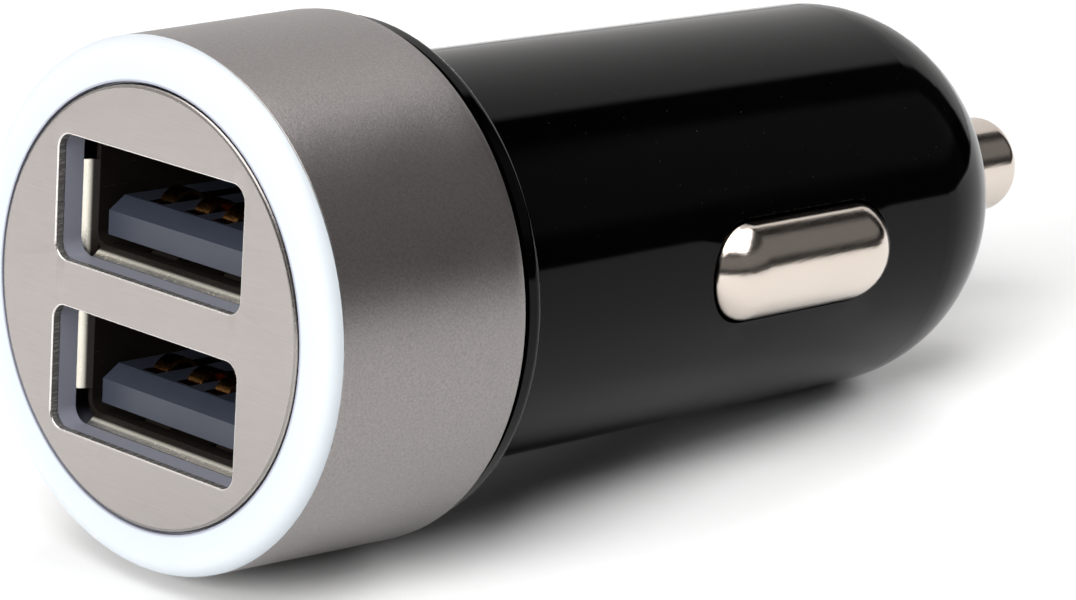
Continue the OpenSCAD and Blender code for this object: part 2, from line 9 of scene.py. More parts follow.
import bpy
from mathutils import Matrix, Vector


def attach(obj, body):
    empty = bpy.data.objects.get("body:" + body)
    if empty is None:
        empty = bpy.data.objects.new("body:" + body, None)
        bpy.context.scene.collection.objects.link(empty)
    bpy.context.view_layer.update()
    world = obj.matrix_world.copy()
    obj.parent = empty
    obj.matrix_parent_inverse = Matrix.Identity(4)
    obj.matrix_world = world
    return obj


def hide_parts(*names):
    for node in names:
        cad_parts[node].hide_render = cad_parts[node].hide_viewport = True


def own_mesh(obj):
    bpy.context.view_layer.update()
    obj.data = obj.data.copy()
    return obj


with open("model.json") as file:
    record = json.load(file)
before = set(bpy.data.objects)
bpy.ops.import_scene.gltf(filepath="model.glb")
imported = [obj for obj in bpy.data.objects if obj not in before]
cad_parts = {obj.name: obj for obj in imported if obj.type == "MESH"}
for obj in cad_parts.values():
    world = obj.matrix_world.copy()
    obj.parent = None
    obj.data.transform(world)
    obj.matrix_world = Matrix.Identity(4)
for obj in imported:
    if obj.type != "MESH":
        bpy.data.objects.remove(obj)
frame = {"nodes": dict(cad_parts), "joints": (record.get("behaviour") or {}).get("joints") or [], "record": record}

bl_info = {
    "name": "Charger Plug Looks",
    "version": (1, 0, 0),
    "blender": (4, 5, 0),
    "location": "View3D > Sidebar > Charger Plug",
    "description": "Materials, small detail and studio for a car USB charger plug",
    "category": "Object",
}

MM = 0.001
BODY = "charger"

# What the imported part says of its mounts
MOUNTS = {mount["name"]: mount for mount in frame["record"]["mounts"]}

# Direction of the plug axis toward the tip, and middle of the face, halfway between the receptacles
AXIS = Vector(MOUNTS["barrel"]["axis"])
FACE = (Vector(MOUNTS["usb_port_upper"]["pos_m"]) + Vector(MOUNTS["usb_port_lower"]["pos_m"])) / 2

# Distances behind the face: end of the painted shadow in the gap behind the sleeve, front of the receptacle
# shells, start and end of the painted shade inside the shells behind their lip, and end of the ring's front lip
SHADOW_GAP_TO = 12.74 * MM
SHADOW_GAP_BLUR = 0.08 * MM
LIP_FROM = 1.65 * MM
LIP_BRIGHT = LIP_FROM + 0.12 * MM
LIP_DARK = LIP_FROM + 0.42 * MM
RING_BACK = 0.85 * MM
RING_BLUR = 0.1 * MM

# Distances from the plug axis: start of the plate's outer rim, which painted shade darkens, start of the ring's
# glow and of its full strength, and start and end of the change of its tint
PLATE_EDGE = 10.3 * MM
PLATE_BLUR = 0.1 * MM
RING_FROM = 10.72 * MM
RING_FULL = 10.86 * MM
TINT_FROM = 10.8 * MM
TINT_TO = 12.7 * MM

# How close together points are joined, and the smallest angle of an edge that is rounded
WELD_REACH = 0.0005 * MM
ROUND_ANGLE = math.radians(32.0)

# Material slots of the face plate after its own metal, and the cosine to the plug axis below which
# a face is a wall and no front or back
EDGE_SLOT = 1
CUT_SLOT = 2
WALL_COSINE = 0.5

# How uneven the ring's glow is, the share of the sleeve's wear that the black moulding shows, and how much
# rougher dust makes the moulding
GLOW_UNEVEN = 0.1
MOULDING_WEAR = 0.4
DUST_ROUGHNESS = 0.6

# Share of the dust pattern's cells that hold no speck
NO_SPECK = 0.82

# Sockets of a Mix node that mixes colours
MIX_A, MIX_B, MIX_RESULT = 6, 7, 2

# Place and turn of the camera, width of its sensor in millimetres, and shift of its picture
EYE_PLACE = (-152.291 * MM, -146.009 * MM, 74.239 * MM)
EYE_TURN = (math.radians(71.031), math.radians(-0.537), math.radians(-45.2275))
SENSOR_WIDTH = 36.0
SHIFT = (-0.00794, 0.09975)
NEAR, FAR = 0.01, 20.0

# Half the side of the floor, and the distances from the plug between which it runs into white
FLOOR_HALF = 1.6
FADE_FROM, FADE_TO = 0.2, 0.5

# Turns about Z from +X: both soft ends of the bright wall, and the soft edge of the darkest part of the room
WALL_START = (math.radians(0.0), math.radians(5.0))
WALL_END = (math.radians(178.0), math.radians(155.0))
ROOM_EDGE = (math.radians(-12.0), math.radians(-19.0))

# How bright the darkest part of the room is beside the rest. The room is at its full brightness between
# the two middle heights, each the Z of a direction, and at its lowest beyond the outer ones
DARK_SHARE = 0.12
HEIGHTS = (0.14, 0.26, 0.54, 0.66)
LOWEST_SHARE = 0.15

# Share of the room's light that matt things get, and the plain white that the camera sees behind the floor
MATT_SHARE = 0.2
PLAIN_WHITE = 1.1
ROOM_TINT = (1.0, 0.98, 0.97, 1.0)

# Name, turn about Z from +X and rise in degrees, distance, width and height in metres, power in watts,
# and whether the lamp shines in glossy things or fills matt ones
LAMPS = (
    ("Overhead softbox", -136.0, 82.0, 0.6, (0.8, 0.8), 7.4, "SHINE"),
    ("Left bounce", -168.0, 21.0, 0.7, (0.36, 0.22), 7.3, "FILL"),
    ("Low left bounce", 170.0, 20.0, 0.7, (0.36, 0.36), 1.9, "FILL"),
    ("High left bounce", -150.0, 50.0, 0.7, (0.36, 0.36), 3.6, "FILL"),
    ("Right bounce", -18.0, 32.0, 0.7, (0.27, 0.27), 3.7, "FILL"),
    ("Back bounce", 21.0, 45.0, 0.7, (0.27, 0.27), 2.1, "FILL"),
)


# Settings


class PlugSettings(bpy.types.PropertyGroup):
    """Finishes that the operators read."""

    glow: bpy.props.FloatProperty(
        name="Ring glow", description="Strength of the light that the ring gives off",
        default=0.3, min=0.0, max=20.0,
    )
    wear: bpy.props.FloatProperty(
        name="Edge wear", description="How much the edges are rubbed",
        default=0.35, min=0.0, max=1.0, subtype="FACTOR",
    )
    dust: bpy.props.FloatProperty(
        name="Dust", description="How much dust lies on upward faces",
        default=0.1, min=0.0, max=1.0, subtype="FACTOR",
    )
    grain: bpy.props.FloatProperty(
        name="Blast grain", description="Depth of the grain of the metal sleeve",
        default=0.012 * MM, min=0.0, max=0.1 * MM, unit="LENGTH",
    )
    plate_dark: bpy.props.FloatVectorProperty(
        name="Plate, dark streaks", description="Colour of the plate where its streaks are dark",
        default=(0.4, 0.368, 0.352), min=0.0, max=1.0, subtype="COLOR",
    )
    plate_light: bpy.props.FloatVectorProperty(
        name="Plate, light streaks", description="Colour of the plate where its streaks are light",
        default=(0.478, 0.441, 0.424), min=0.0, max=1.0, subtype="COLOR",
    )
    sleeve_dark: bpy.props.FloatVectorProperty(
        name="Sleeve, dark grain", description="Colour of the sleeve in the pits of its grain",
        default=(0.162, 0.15, 0.147), min=0.0, max=1.0, subtype="COLOR",
    )
    sleeve_light: bpy.props.FloatVectorProperty(
        name="Sleeve, light grain", description="Colour of the sleeve on the peaks of its grain",
        default=(0.345, 0.322, 0.314), min=0.0, max=1.0, subtype="COLOR",
    )
    plating_dark: bpy.props.FloatVectorProperty(
        name="Plating, dull", description="Colour of the contacts where the plating is dull",
        default=(0.62, 0.55, 0.49), min=0.0, max=1.0, subtype="COLOR",
    )
    plating_light: bpy.props.FloatVectorProperty(
        name="Plating, clear", description="Colour of the contacts where the plating is clear",
        default=(0.68, 0.605, 0.54), min=0.0, max=1.0, subtype="COLOR",
    )
    insulator: bpy.props.FloatVectorProperty(
        name="Insulator", description="Colour of the tongues in the receptacles",
        default=(0.013, 0.0155, 0.023), min=0.0, max=1.0, subtype="COLOR",
    )


class PlugRoundSettings(bpy.types.PropertyGroup):
    """How wide the edges of the pieces are rounded."""

    plate: bpy.props.FloatProperty(
        name="Plate edges", description="Width of the rounding of the face plate's edges",
        default=0.075 * MM, min=0.0, max=0.2 * MM, unit="LENGTH",
    )
    sleeve: bpy.props.FloatProperty(
        name="Sleeve edges", description="Width of the rounding of the sleeve's edges",
        default=0.05 * MM, min=0.0, max=0.3 * MM, unit="LENGTH",
    )
    tip: bpy.props.FloatProperty(
        name="Tip edges", description="Width of the rounding of the tip contact's edges",
        default=0.1 * MM, min=0.0, max=0.5 * MM, unit="LENGTH",
    )
    shell: bpy.props.FloatProperty(
        name="Shell edges", description="Width of the rounding of the receptacle shells' edges",
        default=0.07 * MM, min=0.0, max=0.14 * MM, unit="LENGTH",
    )
    tongue: bpy.props.FloatProperty(
        name="Tongue edges", description="Width of the rounding of the insulators' edges",
        default=0.05 * MM, min=0.0, max=0.3 * MM, unit="LENGTH",
    )


class PlugStageSettings(bpy.types.PropertyGroup):
    """Values of the stage."""

    focal: bpy.props.FloatProperty(
        name="Focal length", description="Focal length of the camera",
        default=141.87, min=20.0, max=400.0, unit="CAMERA",
    )
    key: bpy.props.FloatProperty(
        name="Lamps", description="Factor on the power of every lamp", default=1.0, min=0.0, max=10.0,
    )
    wall: bpy.props.FloatProperty(
        name="Wall", description="Brightness of the wall behind", default=0.85, min=0.0, max=10.0,
    )
    room: bpy.props.FloatProperty(
        name="Room", description="Brightness of the dark side of the room", default=0.22, min=0.0, max=10.0,
    )


def settings():
    """Finishes of the scene."""
    return bpy.context.scene.plug_looks


# Nodes, fed with sockets or with plain numbers and colours


def feed(tree, value, target):
    """Links a socket into a target socket, or sets the target to a number, vector or colour."""
    if isinstance(value, bpy.types.NodeSocket):
        tree.links.new(value, target)
    elif target.type == "RGBA" and len(value) == 3:
        target.default_value = (*value, 1.0)
    else:
        target.default_value = value


def calc(tree, operation, *values, clamp=False):
    """Result of a Math node."""
    node = tree.nodes.new("ShaderNodeMath")
    node.operation = operation
    node.use_clamp = clamp
    for value, target in zip(values, node.inputs):
        feed(tree, value, target)
    return node.outputs["Value"]


def calc_vector(tree, operation, *values):
    """Node of a Vector Math operation."""
    node = tree.nodes.new("ShaderNodeVectorMath")
    node.operation = operation
    for value, target in zip(values, node.inputs):
        feed(tree, value, target)
    return node


def span(tree, value, start=0.0, end=1.0, low=0.0, high=1.0, smooth=False):
    """Maps a value's span from start to end onto low to high."""
    node = tree.nodes.new("ShaderNodeMapRange")
    node.interpolation_type = "SMOOTHSTEP" if smooth else "LINEAR"
    limits = {"From Min": start, "From Max": end, "To Min": low, "To Max": high}
    for label, limit in limits.items():
        node.inputs[label].default_value = limit
    feed(tree, value, node.inputs["Value"])
    return node.outputs["Result"]


def ramp(tree, value, stops):
    """Colour at a value, between stops that are each a place and a colour."""
    node = tree.nodes.new("ShaderNodeValToRGB")
    for element, (place, colour) in zip(node.color_ramp.elements, stops):
        element.position = place
        element.color = (*colour, 1.0)
    feed(tree, value, node.inputs["Fac"])
    return node.outputs["Color"]


def mix(tree, factor, first, second):
    """Mixes two colours by a factor."""
    node = tree.nodes.new("ShaderNodeMix")
    node.data_type = "RGBA"
    feed(tree, factor, node.inputs["Factor"])
    feed(tree, first, node.inputs[MIX_A])
    feed(tree, second, node.inputs[MIX_B])
    return node.outputs[MIX_RESULT]


def noise(tree, where, scale, detail, roughness):
    """Cloudy value from 0 to 1 at a place."""
    node = tree.nodes.new("ShaderNodeTexNoise")
    feed(tree, where, node.inputs["Vector"])
    feed(tree, scale, node.inputs["Scale"])
    node.inputs["Detail"].default_value = detail
    node.inputs["Roughness"].default_value = roughness
    return node.outputs["Fac"]


def bump(tree, height, depth, strength):
    """Normal of a surface with a height on it."""
    node = tree.nodes.new("ShaderNodeBump")
    feed(tree, depth, node.inputs["Distance"])
    feed(tree, strength, node.inputs["Strength"])
    feed(tree, height, node.inputs["Height"])
    return node.outputs["Normal"]


def here(tree, output="Object"):
    """Place of a point of the surface."""
    return tree.nodes.new("ShaderNodeTexCoord").outputs[output]


def plug_place(tree):
    """Distances of a point of the surface behind the face, along the plug axis, and from that axis."""
    shift = calc_vector(tree, "SUBTRACT", here(tree), FACE).outputs["Vector"]
    behind = calc_vector(tree, "DOT_PRODUCT", shift, AXIS).outputs["Value"]
    along = calc_vector(tree, "SCALE", AXIS)
    feed(tree, behind, along.inputs["Scale"])
    across = calc_vector(tree, "SUBTRACT", shift, along.outputs["Vector"]).outputs["Vector"]
    return behind, calc_vector(tree, "LENGTH", across).outputs["Value"]


# Shared node groups


def new_group(name, inputs, outputs):
    """An empty shader node group with named sockets."""
    tree = bpy.data.node_groups.new(name, "ShaderNodeTree")
    for kind, label, value in inputs:
        socket = tree.interface.new_socket(name=label, in_out="INPUT", socket_type=kind)
        socket.default_value = value
    for kind, label in outputs:
        tree.interface.new_socket(name=label, in_out="OUTPUT", socket_type=kind)
    return tree, tree.nodes.new("NodeGroupInput").outputs, tree.nodes.new("NodeGroupOutput").inputs


def group_edge_wear():
    """Mask of sharp edges, broken up by noise."""
    tree, given, result = new_group(
        "Edge wear",
        [
            ("NodeSocketFloat", "Width", 0.2 * MM), ("NodeSocketFloat", "Amount", 0.5),
            ("NodeSocketFloat", "Break up", 1800.0),
        ],
        [("NodeSocketFloat", "Mask")],
    )
    rounded = tree.nodes.new("ShaderNodeBevel")
    rounded.samples = 6
    feed(tree, given["Width"], rounded.inputs["Radius"])
    geometry = tree.nodes.new("ShaderNodeNewGeometry")
    dot = calc_vector(tree, "DOT_PRODUCT", rounded.outputs["Normal"], geometry.outputs["Normal"])
    edge = span(tree, dot.outputs["Value"], start=0.995, end=0.9)
    spots = noise(tree, here(tree), scale=given["Break up"], detail=4.0, roughness=0.65)
    broken = ramp(tree, spots, ((0.38, (0.0, 0.0, 0.0)), (0.62, (1.0, 1.0, 1.0))))
    rubbed = calc(tree, "MULTIPLY", edge, broken)
    feed(tree, calc(tree, "MULTIPLY", rubbed, given["Amount"], clamp=True), result["Mask"])
    return tree


def group_grain():
    """Fine grain as a normal and a value, with a slow mottle for roughness."""
    tree, given, result = new_group(
        "Blast grain",
        [
            ("NodeSocketFloat", "Scale", 9000.0), ("NodeSocketFloat", "Depth", 0.01 * MM),
            ("NodeSocketFloat", "Strength", 0.5),
        ],
        [("NodeSocketVector", "Normal"), ("NodeSocketFloat", "Fine"), ("NodeSocketFloat", "Mottle")],
    )
    where = here(tree)
    fine = noise(tree, where, scale=given["Scale"], detail=3.0, roughness=0.6)
    mottle = noise(tree, where, scale=260.0, detail=5.0, roughness=0.6)
    feed(tree, bump(tree, fine, given["Depth"], given["Strength"]), result["Normal"])
    feed(tree, fine, result["Fine"])
    feed(tree, mottle, result["Mottle"])
    return tree


def group_dust():
    """Specks and a thin veil on faces that look up."""
    tree, given, result = new_group(
        "Dust",
        [("NodeSocketFloat", "Amount", 0.3), ("NodeSocketFloat", "Speck scale", 2600.0)],
        [("NodeSocketFloat", "Mask")],
    )
    where = here(tree)
    geometry = tree.nodes.new("ShaderNodeNewGeometry")
    split = tree.nodes.new("ShaderNodeSeparateXYZ")
    feed(tree, geometry.outputs["Normal"], split.inputs["Vector"])
    upward = span(tree, split.outputs["Z"], start=-0.1, end=0.9)
    cells = tree.nodes.new("ShaderNodeTexVoronoi")
    feed(tree, where, cells.inputs["Vector"])
    feed(tree, given["Speck scale"], cells.inputs["Scale"])
    speck = ramp(tree, cells.outputs["Distance"], ((0.05, (1.0, 1.0, 1.0)), (0.11, (0.0, 0.0, 0.0))))
    chance = tree.nodes.new("ShaderNodeSeparateColor")
    feed(tree, cells.outputs["Color"], chance.inputs["Color"])
    few = calc(tree, "GREATER_THAN", chance.outputs["Red"], NO_SPECK)
    specks = calc(tree, "MULTIPLY", speck, few)
    cloud = noise(tree, where, scale=420.0, detail=6.0, roughness=0.7)
    veil = ramp(tree, cloud, ((0.45, (0.0, 0.0, 0.0)), (0.8, (0.012, 0.012, 0.012))))
    both = calc(tree, "ADD", specks, veil, clamp=True)
    lying = calc(tree, "MULTIPLY", both, upward)
    feed(tree, calc(tree, "MULTIPLY", lying, given["Amount"], clamp=True), result["Mask"])
    return tree


def group_brushed():
    """Streaks along one direction, as a normal and a value."""
    tree, given, result = new_group(
        "Brushed",
        [
            ("NodeSocketVector", "Stretch", (1.0, 1.0, 1.0)), ("NodeSocketFloat", "Scale", 9000.0),
            ("NodeSocketFloat", "Strength", 0.3),
        ],
        [("NodeSocketVector", "Normal"), ("NodeSocketFloat", "Streak")],
    )
    stretched = calc_vector(tree, "MULTIPLY", here(tree), given["Stretch"])
    streak = noise(tree, stretched.outputs["Vector"], scale=given["Scale"], detail=3.0, roughness=0.6)
    feed(tree, bump(tree, streak, depth=0.01 * MM, strength=given["Strength"]), result["Normal"])
    feed(tree, streak, result["Streak"])
    return tree


GROUPS = {
    "Edge wear": group_edge_wear,
    "Blast grain": group_grain,
    "Dust": group_dust,
    "Brushed": group_brushed,
}


def use_group(tree, name, **values):
    """Outputs of a shared group, which is made when it is first used, with its inputs set by name."""
    node = tree.nodes.new("ShaderNodeGroup")
    node.node_tree = bpy.data.node_groups.get(name) or GROUPS[name]()
    for key, value in values.items():
        feed(tree, value, node.inputs[key.replace("_", " ")])
    return node.outputs


# Materials


def base_material(name, colour, metallic=0.0, roughness=0.4, **more):
    """A material with a Principled shader, its nodes and the shader's inputs."""
    material = bpy.data.materials.new(name)
    material.use_nodes = True
    tree = material.node_tree
    shader = tree.nodes["Principled BSDF"].inputs
    feed(tree, colour, shader["Base Color"])
    feed(tree, metallic, shader["Metallic"])
    feed(tree, roughness, shader["Roughness"])
    for key, value in more.items():
        feed(tree, value, shader[key.replace("_", " ")])
    return material, tree, shader


def satin_face():
    """Front of the plate: fine streaks across, with a slow mottle."""
    looks = settings()
    material, tree, shader = base_material("Satin face metal", (0.52, 0.475, 0.455), 1.0, 0.38)
    brushed = use_group(tree, "Brushed", Stretch=(1.0, 0.03, 1.0), Scale=14000.0, Strength=0.35)
    grain = use_group(tree, "Blast grain", Scale=12000.0)
    tone = mix(tree, brushed["Streak"], looks.plate_dark, looks.plate_light)
    mottle = span(tree, grain["Mottle"], high=0.25)
    feed(tree, mix(tree, mottle, tone, (0.515, 0.478, 0.458)), shader["Base Color"])
    feed(tree, span(tree, grain["Fine"], low=0.34, high=0.46), shader["Roughness"])
    feed(tree, brushed["Normal"], shader["Normal"])
    return material


def cut_edge():
    """Wall of a stamped window: streaked through the sheet, and darkened by painted shade for the dark inside of
    the plug that it mirrors.
    """
    material, tree, shader = base_material("Cut edge", (0.3, 0.29, 0.285), 0.35, 0.3)
    brushed = use_group(tree, "Brushed", Stretch=(0.1, 1.0, 1.0), Scale=9000.0, Strength=0.6)
    # Painted shade: the dark tone stands in for the dark inside that the wall mirrors; the streaks are its grain
    tone = mix(tree, brushed["Streak"], (0.03, 0.029, 0.028), (0.22, 0.21, 0.2))
    feed(tree, tone, shader["Base Color"])
    feed(tree, span(tree, brushed["Streak"], low=0.12, high=0.4), shader["Roughness"])
    feed(tree, brushed["Normal"], shader["Normal"])
    return material


def polished_edge():
    """Broken edge of the plate: bright round the windows, and darker on the plate's rim, as painted shade where
    the plate meets the ring.
    """
    material, tree, shader = base_material("Polished edge", (0.8, 0.77, 0.74), 1.0, 0.2)
    _, off_axis = plug_place(tree)
    brushed = use_group(tree, "Brushed", Stretch=(1.0, 1.0, 1.0), Scale=5000.0, Strength=0.25)
    # Painted shade: the bevel on the plate's rim is darker, for the gap between the plate and the ring
    outer_rim_shade = span(tree, off_axis, PLATE_EDGE, PLATE_EDGE + PLATE_BLUR)
    feed(tree, mix(tree, outer_rim_shade, (0.8, 0.77, 0.74), (0.3, 0.28, 0.265)), shader["Base Color"])
    feed(tree, span(tree, brushed["Streak"], low=0.16, high=0.34), shader["Roughness"])
    feed(tree, brushed["Normal"], shader["Normal"])
    return material


def light_guide():
    """Frosted cap: its front lip glows, the walls of its windows stay dim."""
    glow = settings().glow
    material, tree, shader = base_material("Frosted light guide", (0.7, 0.76, 0.84), 0.0, 0.35, IOR=1.49)
    grain = use_group(tree, "Blast grain", Scale=3000.0, Depth=0.02 * MM, Strength=0.15)
    behind, off_axis = plug_place(tree)
    rim = span(tree, off_axis, RING_FROM, RING_FULL, smooth=True)
    front = span(tree, behind, RING_BACK + RING_BLUR, RING_BACK)
    lip = calc(tree, "MULTIPLY", rim, front)
    cloud = noise(tree, here(tree), scale=150.0, detail=3.0, roughness=0.5)
    strength = span(tree, cloud, low=glow * (1.0 - GLOW_UNEVEN), high=glow * (1.0 + GLOW_UNEVEN))
    feed(tree, calc(tree, "MULTIPLY", lip, strength), shader["Emission Strength"])
    spread = span(tree, off_axis, TINT_FROM, TINT_TO)
    tint = ramp(tree, spread, ((0.0, (0.5, 0.74, 1.0)), (0.8, (0.74, 0.9, 1.0))))
    feed(tree, tint, shader["Emission Color"])
    feed(tree, mix(tree, lip, (0.17, 0.175, 0.21), (0.258, 0.26, 0.268)), shader["Base Color"])
    feed(tree, grain["Normal"], shader["Normal"])
    return material


def anodised():
    """Sleeve: blasted and anodised, rubbed bright on its edges."""
    looks = settings()
    material, tree, shader = base_material("Matt anodised metal", (0.36, 0.34, 0.325), 1.0, 0.42)
    grain = use_group(tree, "Blast grain", Scale=8500.0, Depth=looks.grain, Strength=0.8)
    wear = use_group(tree, "Edge wear", Width=0.15 * MM, Amount=looks.wear)
    tone = mix(tree, grain["Fine"], looks.sleeve_dark, looks.sleeve_light)
    feed(tree, mix(tree, wear["Mask"], tone, (0.78, 0.76, 0.74)), shader["Base Color"])
    feed(tree, span(tree, grain["Mottle"], low=0.3, high=0.38), shader["Roughness"])
    feed(tree, grain["Normal"], shader["Normal"])
    return material


def black_gloss():
    """Polished moulding, a little dusty. Up to the end of the sleeve it reflects nothing, as painted shadow in the
    gap between the sleeve and the flange.
    """
    looks = settings()
    black = (0.0003, 0.0003, 0.0003)
    material, tree, shader = base_material("Polished black moulding", black, 0.0, 0.06, IOR=1.5)
    behind, _ = plug_place(tree)
    # Painted shadow: no reflection up to this distance behind the face, so the gap between the sleeve and the
    # flange looks dark
    shadow_gap = span(tree, behind, SHADOW_GAP_TO, SHADOW_GAP_TO + SHADOW_GAP_BLUR)
    feed(tree, span(tree, shadow_gap, high=0.095), shader["Specular IOR Level"])
    grain = use_group(tree, "Blast grain", Scale=420.0, Depth=0.0015 * MM, Strength=0.3)
    dust = use_group(tree, "Dust", Amount=looks.dust)
    wear = use_group(tree, "Edge wear", Width=0.12 * MM, Amount=looks.wear * MOULDING_WEAR)
    tone = mix(tree, dust["Mask"], black, (0.25, 0.24, 0.22))
    feed(tree, mix(tree, wear["Mask"], tone, (0.05, 0.05, 0.05)), shader["Base Color"])
    gloss = span(tree, grain["Mottle"], low=0.05, high=0.07)
    dusty = calc(tree, "MULTIPLY_ADD", dust["Mask"], DUST_ROUGHNESS, gloss, clamp=True)
    feed(tree, dusty, shader["Roughness"])
    feed(tree, grain["Normal"], shader["Normal"])
    return material


def nickel():
    """Plating of the contacts that touch the socket, finely streaked along them."""
    looks = settings()
    material, tree, shader = base_material("Nickel plating", (0.7, 0.62, 0.555), 1.0, 0.12)
    brushed = use_group(tree, "Brushed", Stretch=(0.12, 1.0, 1.0), Scale=7000.0, Strength=0.5)
    grain = use_group(tree, "Blast grain", Scale=1500.0)
    feed(tree, mix(tree, grain["Mottle"], looks.plating_dark, looks.plating_light), shader["Base Color"])
    feed(tree, span(tree, brushed["Streak"], low=0.1, high=0.21), shader["Roughness"])
    feed(tree, brushed["Normal"], shader["Normal"])
    return material


def shell_steel():
    """Folded steel with a bright front lip. Behind the lip it is painted near black, less metallic and less shiny,
    as painted shade inside the receptacle.
    """
    material, tree, shader = base_material("Tinned shell steel", (0.8, 0.76, 0.68), 1.0, 0.22)
    brushed = use_group(tree, "Brushed", Stretch=(0.1, 1.0, 1.0), Scale=6000.0, Strength=0.35)
    behind, _ = plug_place(tree)
    # Painted shade: behind the lip the steel turns near black and loses its metal shine, for the shade inside the
    # receptacle
    painted_shade_inside = span(tree, behind, LIP_BRIGHT, LIP_DARK, smooth=True)
    feed(tree, mix(tree, painted_shade_inside, (0.8, 0.76, 0.66), (0.008, 0.0065, 0.0055)), shader["Base Color"])
    feed(tree, span(tree, painted_shade_inside, low=1.0, high=0.15), shader["Metallic"])
    feed(tree, span(tree, painted_shade_inside, low=0.5, high=0.12), shader["Specular IOR Level"])
    feed(tree, span(tree, brushed["Streak"], low=0.14, high=0.34), shader["Roughness"])
    feed(tree, brushed["Normal"], shader["Normal"])
    return material


def moulded(name, colour, rough):
    """Fine-grained plastic or ceramic of one colour, slightly mottled."""
    material, tree, shader = base_material(name, colour, 0.0, rough)
    grain = use_group(tree, "Blast grain", Scale=6000.0, Depth=0.01 * MM, Strength=0.5)
    light = tuple(min(1.0, share * 1.35 + 0.004) for share in colour)
    feed(tree, mix(tree, grain["Mottle"], colour, light), shader["Base Color"])
    feed(tree, span(tree, grain["Fine"], low=rough - 0.07, high=rough + 0.08), shader["Roughness"])
    feed(tree, grain["Normal"], shader["Normal"])
    return material


def thin_metal(name, colour, rough):
    """Drawn wire, strip or can of one metal, streaked along it."""
    material, tree, shader = base_material(name, colour, 1.0, rough)
    brushed = use_group(tree, "Brushed", Stretch=(0.2, 1.0, 1.0), Scale=8000.0, Strength=0.3)
    smoothest = max(0.05, rough - 0.08)
    feed(tree, span(tree, brushed["Streak"], low=smoothest, high=rough + 0.1), shader["Roughness"])
    feed(tree, brushed["Normal"], shader["Normal"])
    return material


def solder_mask():
    """Green lacquer of the board, lighter over its tracks."""
    material, tree, shader = base_material("Solder mask", (0.01, 0.09, 0.045), 0.0, 0.3)
    tracks = tree.nodes.new("ShaderNodeTexBrick")
    feed(tree, here(tree), tracks.inputs["Vector"])
    feed(tree, 260.0, tracks.inputs["Scale"])
    feed(tree, 0.03, tracks.inputs["Mortar Size"])
    tone = mix(tree, tracks.outputs["Fac"], (0.01, 0.085, 0.04), (0.03, 0.16, 0.07))
    feed(tree, tone, shader["Base Color"])
    grain = use_group(tree, "Blast grain", Scale=2500.0, Depth=0.01 * MM, Strength=0.2)
    feed(tree, grain["Normal"], shader["Normal"])
    return material


def pale_floor():
    """Pale floor that runs into white far from the plug, for the camera only."""
    pale = (0.66, 0.66, 0.66)
    material, tree, shader = base_material("Pale floor", pale, 0.0, 0.6, Specular_IOR_Level=0.15)
    where = here(tree)
    grain = noise(tree, where, scale=900.0, detail=4.0, roughness=0.6)
    feed(tree, mix(tree, grain, (0.65, 0.65, 0.65), (0.67, 0.67, 0.67)), shader["Base Color"])
    far = calc_vector(tree, "LENGTH", where).outputs["Value"]
    fade = span(tree, far, FADE_FROM, FADE_TO, smooth=True)
    path = tree.nodes.new("ShaderNodeLightPath").outputs
    feed(tree, (1.0, 1.0, 1.0), shader["Emission Color"])
    feed(tree, calc(tree, "MULTIPLY", fade, path["Is Camera Ray"]), shader["Emission Strength"])
    return material


# Pieces


def dress(name, *materials):
    """Gives a CAD node its materials."""
    node = frame["nodes"][name]
    node.data.materials.clear()
    for material in materials:
        node.data.materials.append(material)
    return node


def soften(node, width=0.0, material=-1, segments=2):
    """Rounds the edges of a CAD node, if a width is given, and evens out its shading, as modifiers."""
    weld = node.modifiers.new("Weld", "WELD")
    weld.merge_threshold = WELD_REACH
    if width:
        bevel = node.modifiers.new("Edges", "BEVEL")
        bevel.width = width
        bevel.segments = segments
        bevel.limit_method = "ANGLE"
        bevel.angle_limit = ROUND_ANGLE
        bevel.material = material
        bevel.use_clamp_overlap = True
    even = node.modifiers.new("Even normals", "WEIGHTED_NORMAL")
    even.mode = "FACE_AREA_WITH_ANGLE"
    even.keep_sharp = False


def from_axis(point):
    """Distance of a point from the plug axis."""
    off = point - FACE
    return (off - AXIS * off.dot(AXIS)).length


def sprung(name):
    """A copy that stands for a spring, put on the plug's body in place of its CAD node, which is hidden."""
    node = frame["nodes"][name]
    spring = bpy.data.objects.new(name + "_sprung", node.data.copy())
    bpy.context.scene.collection.objects.link(spring)
    spring.matrix_world = node.matrix_world
    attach(spring, BODY)
    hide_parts(name)
    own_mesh(spring)


# Operators


class PLUG_OT_face(bpy.types.Operator):
    """Dress the face plate and the light ring"""

    bl_idname = "plug.face"
    bl_label = "Face and ring"
    bl_options = {"REGISTER", "UNDO"}

    def execute(self, context):
        plate = dress("face_plate", satin_face(), polished_edge(), cut_edge())
        for face in plate.data.polygons:
            wall = abs(face.normal.dot(AXIS)) < WALL_COSINE
            if wall and from_axis(plate.matrix_world @ face.center) < PLATE_EDGE:
                face.material_index = CUT_SLOT
        soften(plate, context.scene.plug_rounds.plate, material=EDGE_SLOT, segments=3)
        dress("light_ring", light_guide())
        return {"FINISHED"}


class PLUG_OT_sleeve(bpy.types.Operator):
    """Dress the metal sleeve"""

    bl_idname = "plug.sleeve"
    bl_label = "Sleeve"
    bl_options = {"REGISTER", "UNDO"}

    def execute(self, context):
        soften(dress("sleeve", anodised()), context.scene.plug_rounds.sleeve)
        return {"FINISHED"}


class PLUG_OT_housing(bpy.types.Operator):
    """Dress the black housing"""

    bl_idname = "plug.housing"
    bl_label = "Housing"
    bl_options = {"REGISTER", "UNDO"}

    def execute(self, context):
        dress("housing", black_gloss())
        return {"FINISHED"}


